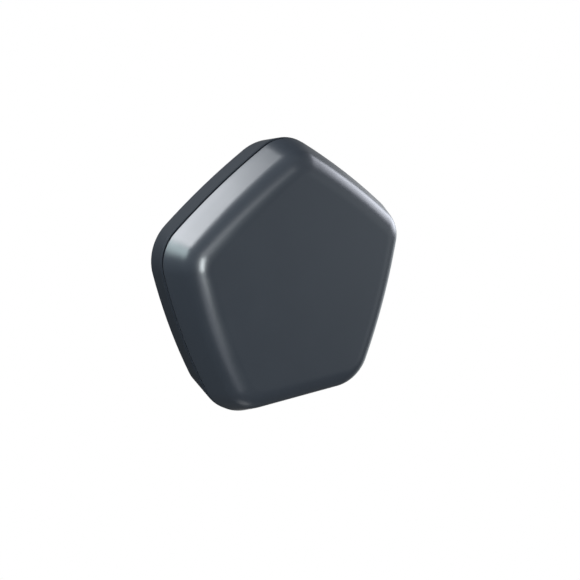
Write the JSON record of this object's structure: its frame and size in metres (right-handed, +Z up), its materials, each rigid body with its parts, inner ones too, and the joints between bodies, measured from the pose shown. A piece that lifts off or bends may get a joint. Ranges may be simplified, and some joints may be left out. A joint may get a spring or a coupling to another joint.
{
  "type": "wireless temperature sensor",
  "caption": "Thin five-sided wall box with bowed sides and a deep rounded front cover that pulls off over two cells and a circuit board.",
  "frame": {"origin": "on the back face where it meets the wall, at the middle of the five-sided outline", "axes": "+Z up, the front looks along -Y, +X to the right of someone who looks at the front"},
  "size_m": [0.0752, 0.0189, 0.0753],
  "materials": {
    "cover_plastic": "satin moulded plastic, fine spark texture",
    "shell_plastic": "matt moulded plastic, coarser spark texture",
    "board_laminate": "green solder mask over copper tracks",
    "screw_steel": "zinc plated",
    "holder_plastic": "black moulded nylon",
    "contact_nickel": "nickel plated sheet",
    "cell_metal": "nickel plated steel cup",
    "jacket_film": "plain printed film",
    "seal_nylon": "natural nylon",
    "chip_epoxy": "black moulded epoxy",
    "crystal_metal": "nickel plated lid",
    "inductor_ferrite": "dark grey ferrite",
    "antenna_ceramic": "white ceramic",
    "led_resin": "clear resin",
    "capacitor_ceramic": "tan ceramic with tinned ends",
    "resistor_body": "black glaze with tinned ends",
    "tantalum_resin": "yellow moulded resin",
    "switch_plastic": "black moulded plastic",
    "switch_metal": "bright pressed plate",
    "plunger_plastic": "black moulded plastic"
  },
  "bodies": {
    "base": {"back_shell": "shell_plastic", "main_board": "board_laminate", "board_screws": "screw_steel", "battery_holder": "holder_plastic", "contact_positive": "contact_nickel", "contact_negative": "contact_nickel", "contact_bridge": "contact_nickel", "radio_chip": "chip_epoxy", "memory_chip": "chip_epoxy", "voltage_regulator": "chip_epoxy", "radio_crystal": "crystal_metal", "watch_crystal": "crystal_metal", "power_inductor": "inductor_ferrite", "chip_antenna": "antenna_ceramic", "status_led": "led_resin", "ceramic_capacitors": "capacitor_ceramic", "chip_resistors": "resistor_body", "bulk_capacitors": "tantalum_resin", "temperature_chip": "chip_epoxy", "switch_housing": "switch_plastic", "switch_cover_plate": "switch_metal", "cell_1_can": "cell_metal", "cell_1_jacket": "jacket_film", "cell_1_seal": "seal_nylon", "cell_1_end_cap": "cell_metal", "cell_2_can": "cell_metal", "cell_2_jacket": "jacket_film", "cell_2_seal": "seal_nylon", "cell_2_end_cap": "cell_metal"},
    "cover": {"front_cover": "cover_plastic", "cover_hooks": "cover_plastic"},
    "button": {"switch_plunger": "plunger_plastic"}
  },
  "joints": [
    {"name": "cover_pull", "type": "slide", "parent": "base", "child": "cover", "axis": [0, -1, 0], "range_m": [0, 0.03], "deforming": ["cover_hooks"]},
    {"name": "button_press", "type": "slide", "parent": "base", "child": "button", "axis": [0, 1, 0], "range_m": [0, 0.00025], "stiffness_N_per_m": 500}
  ]
}
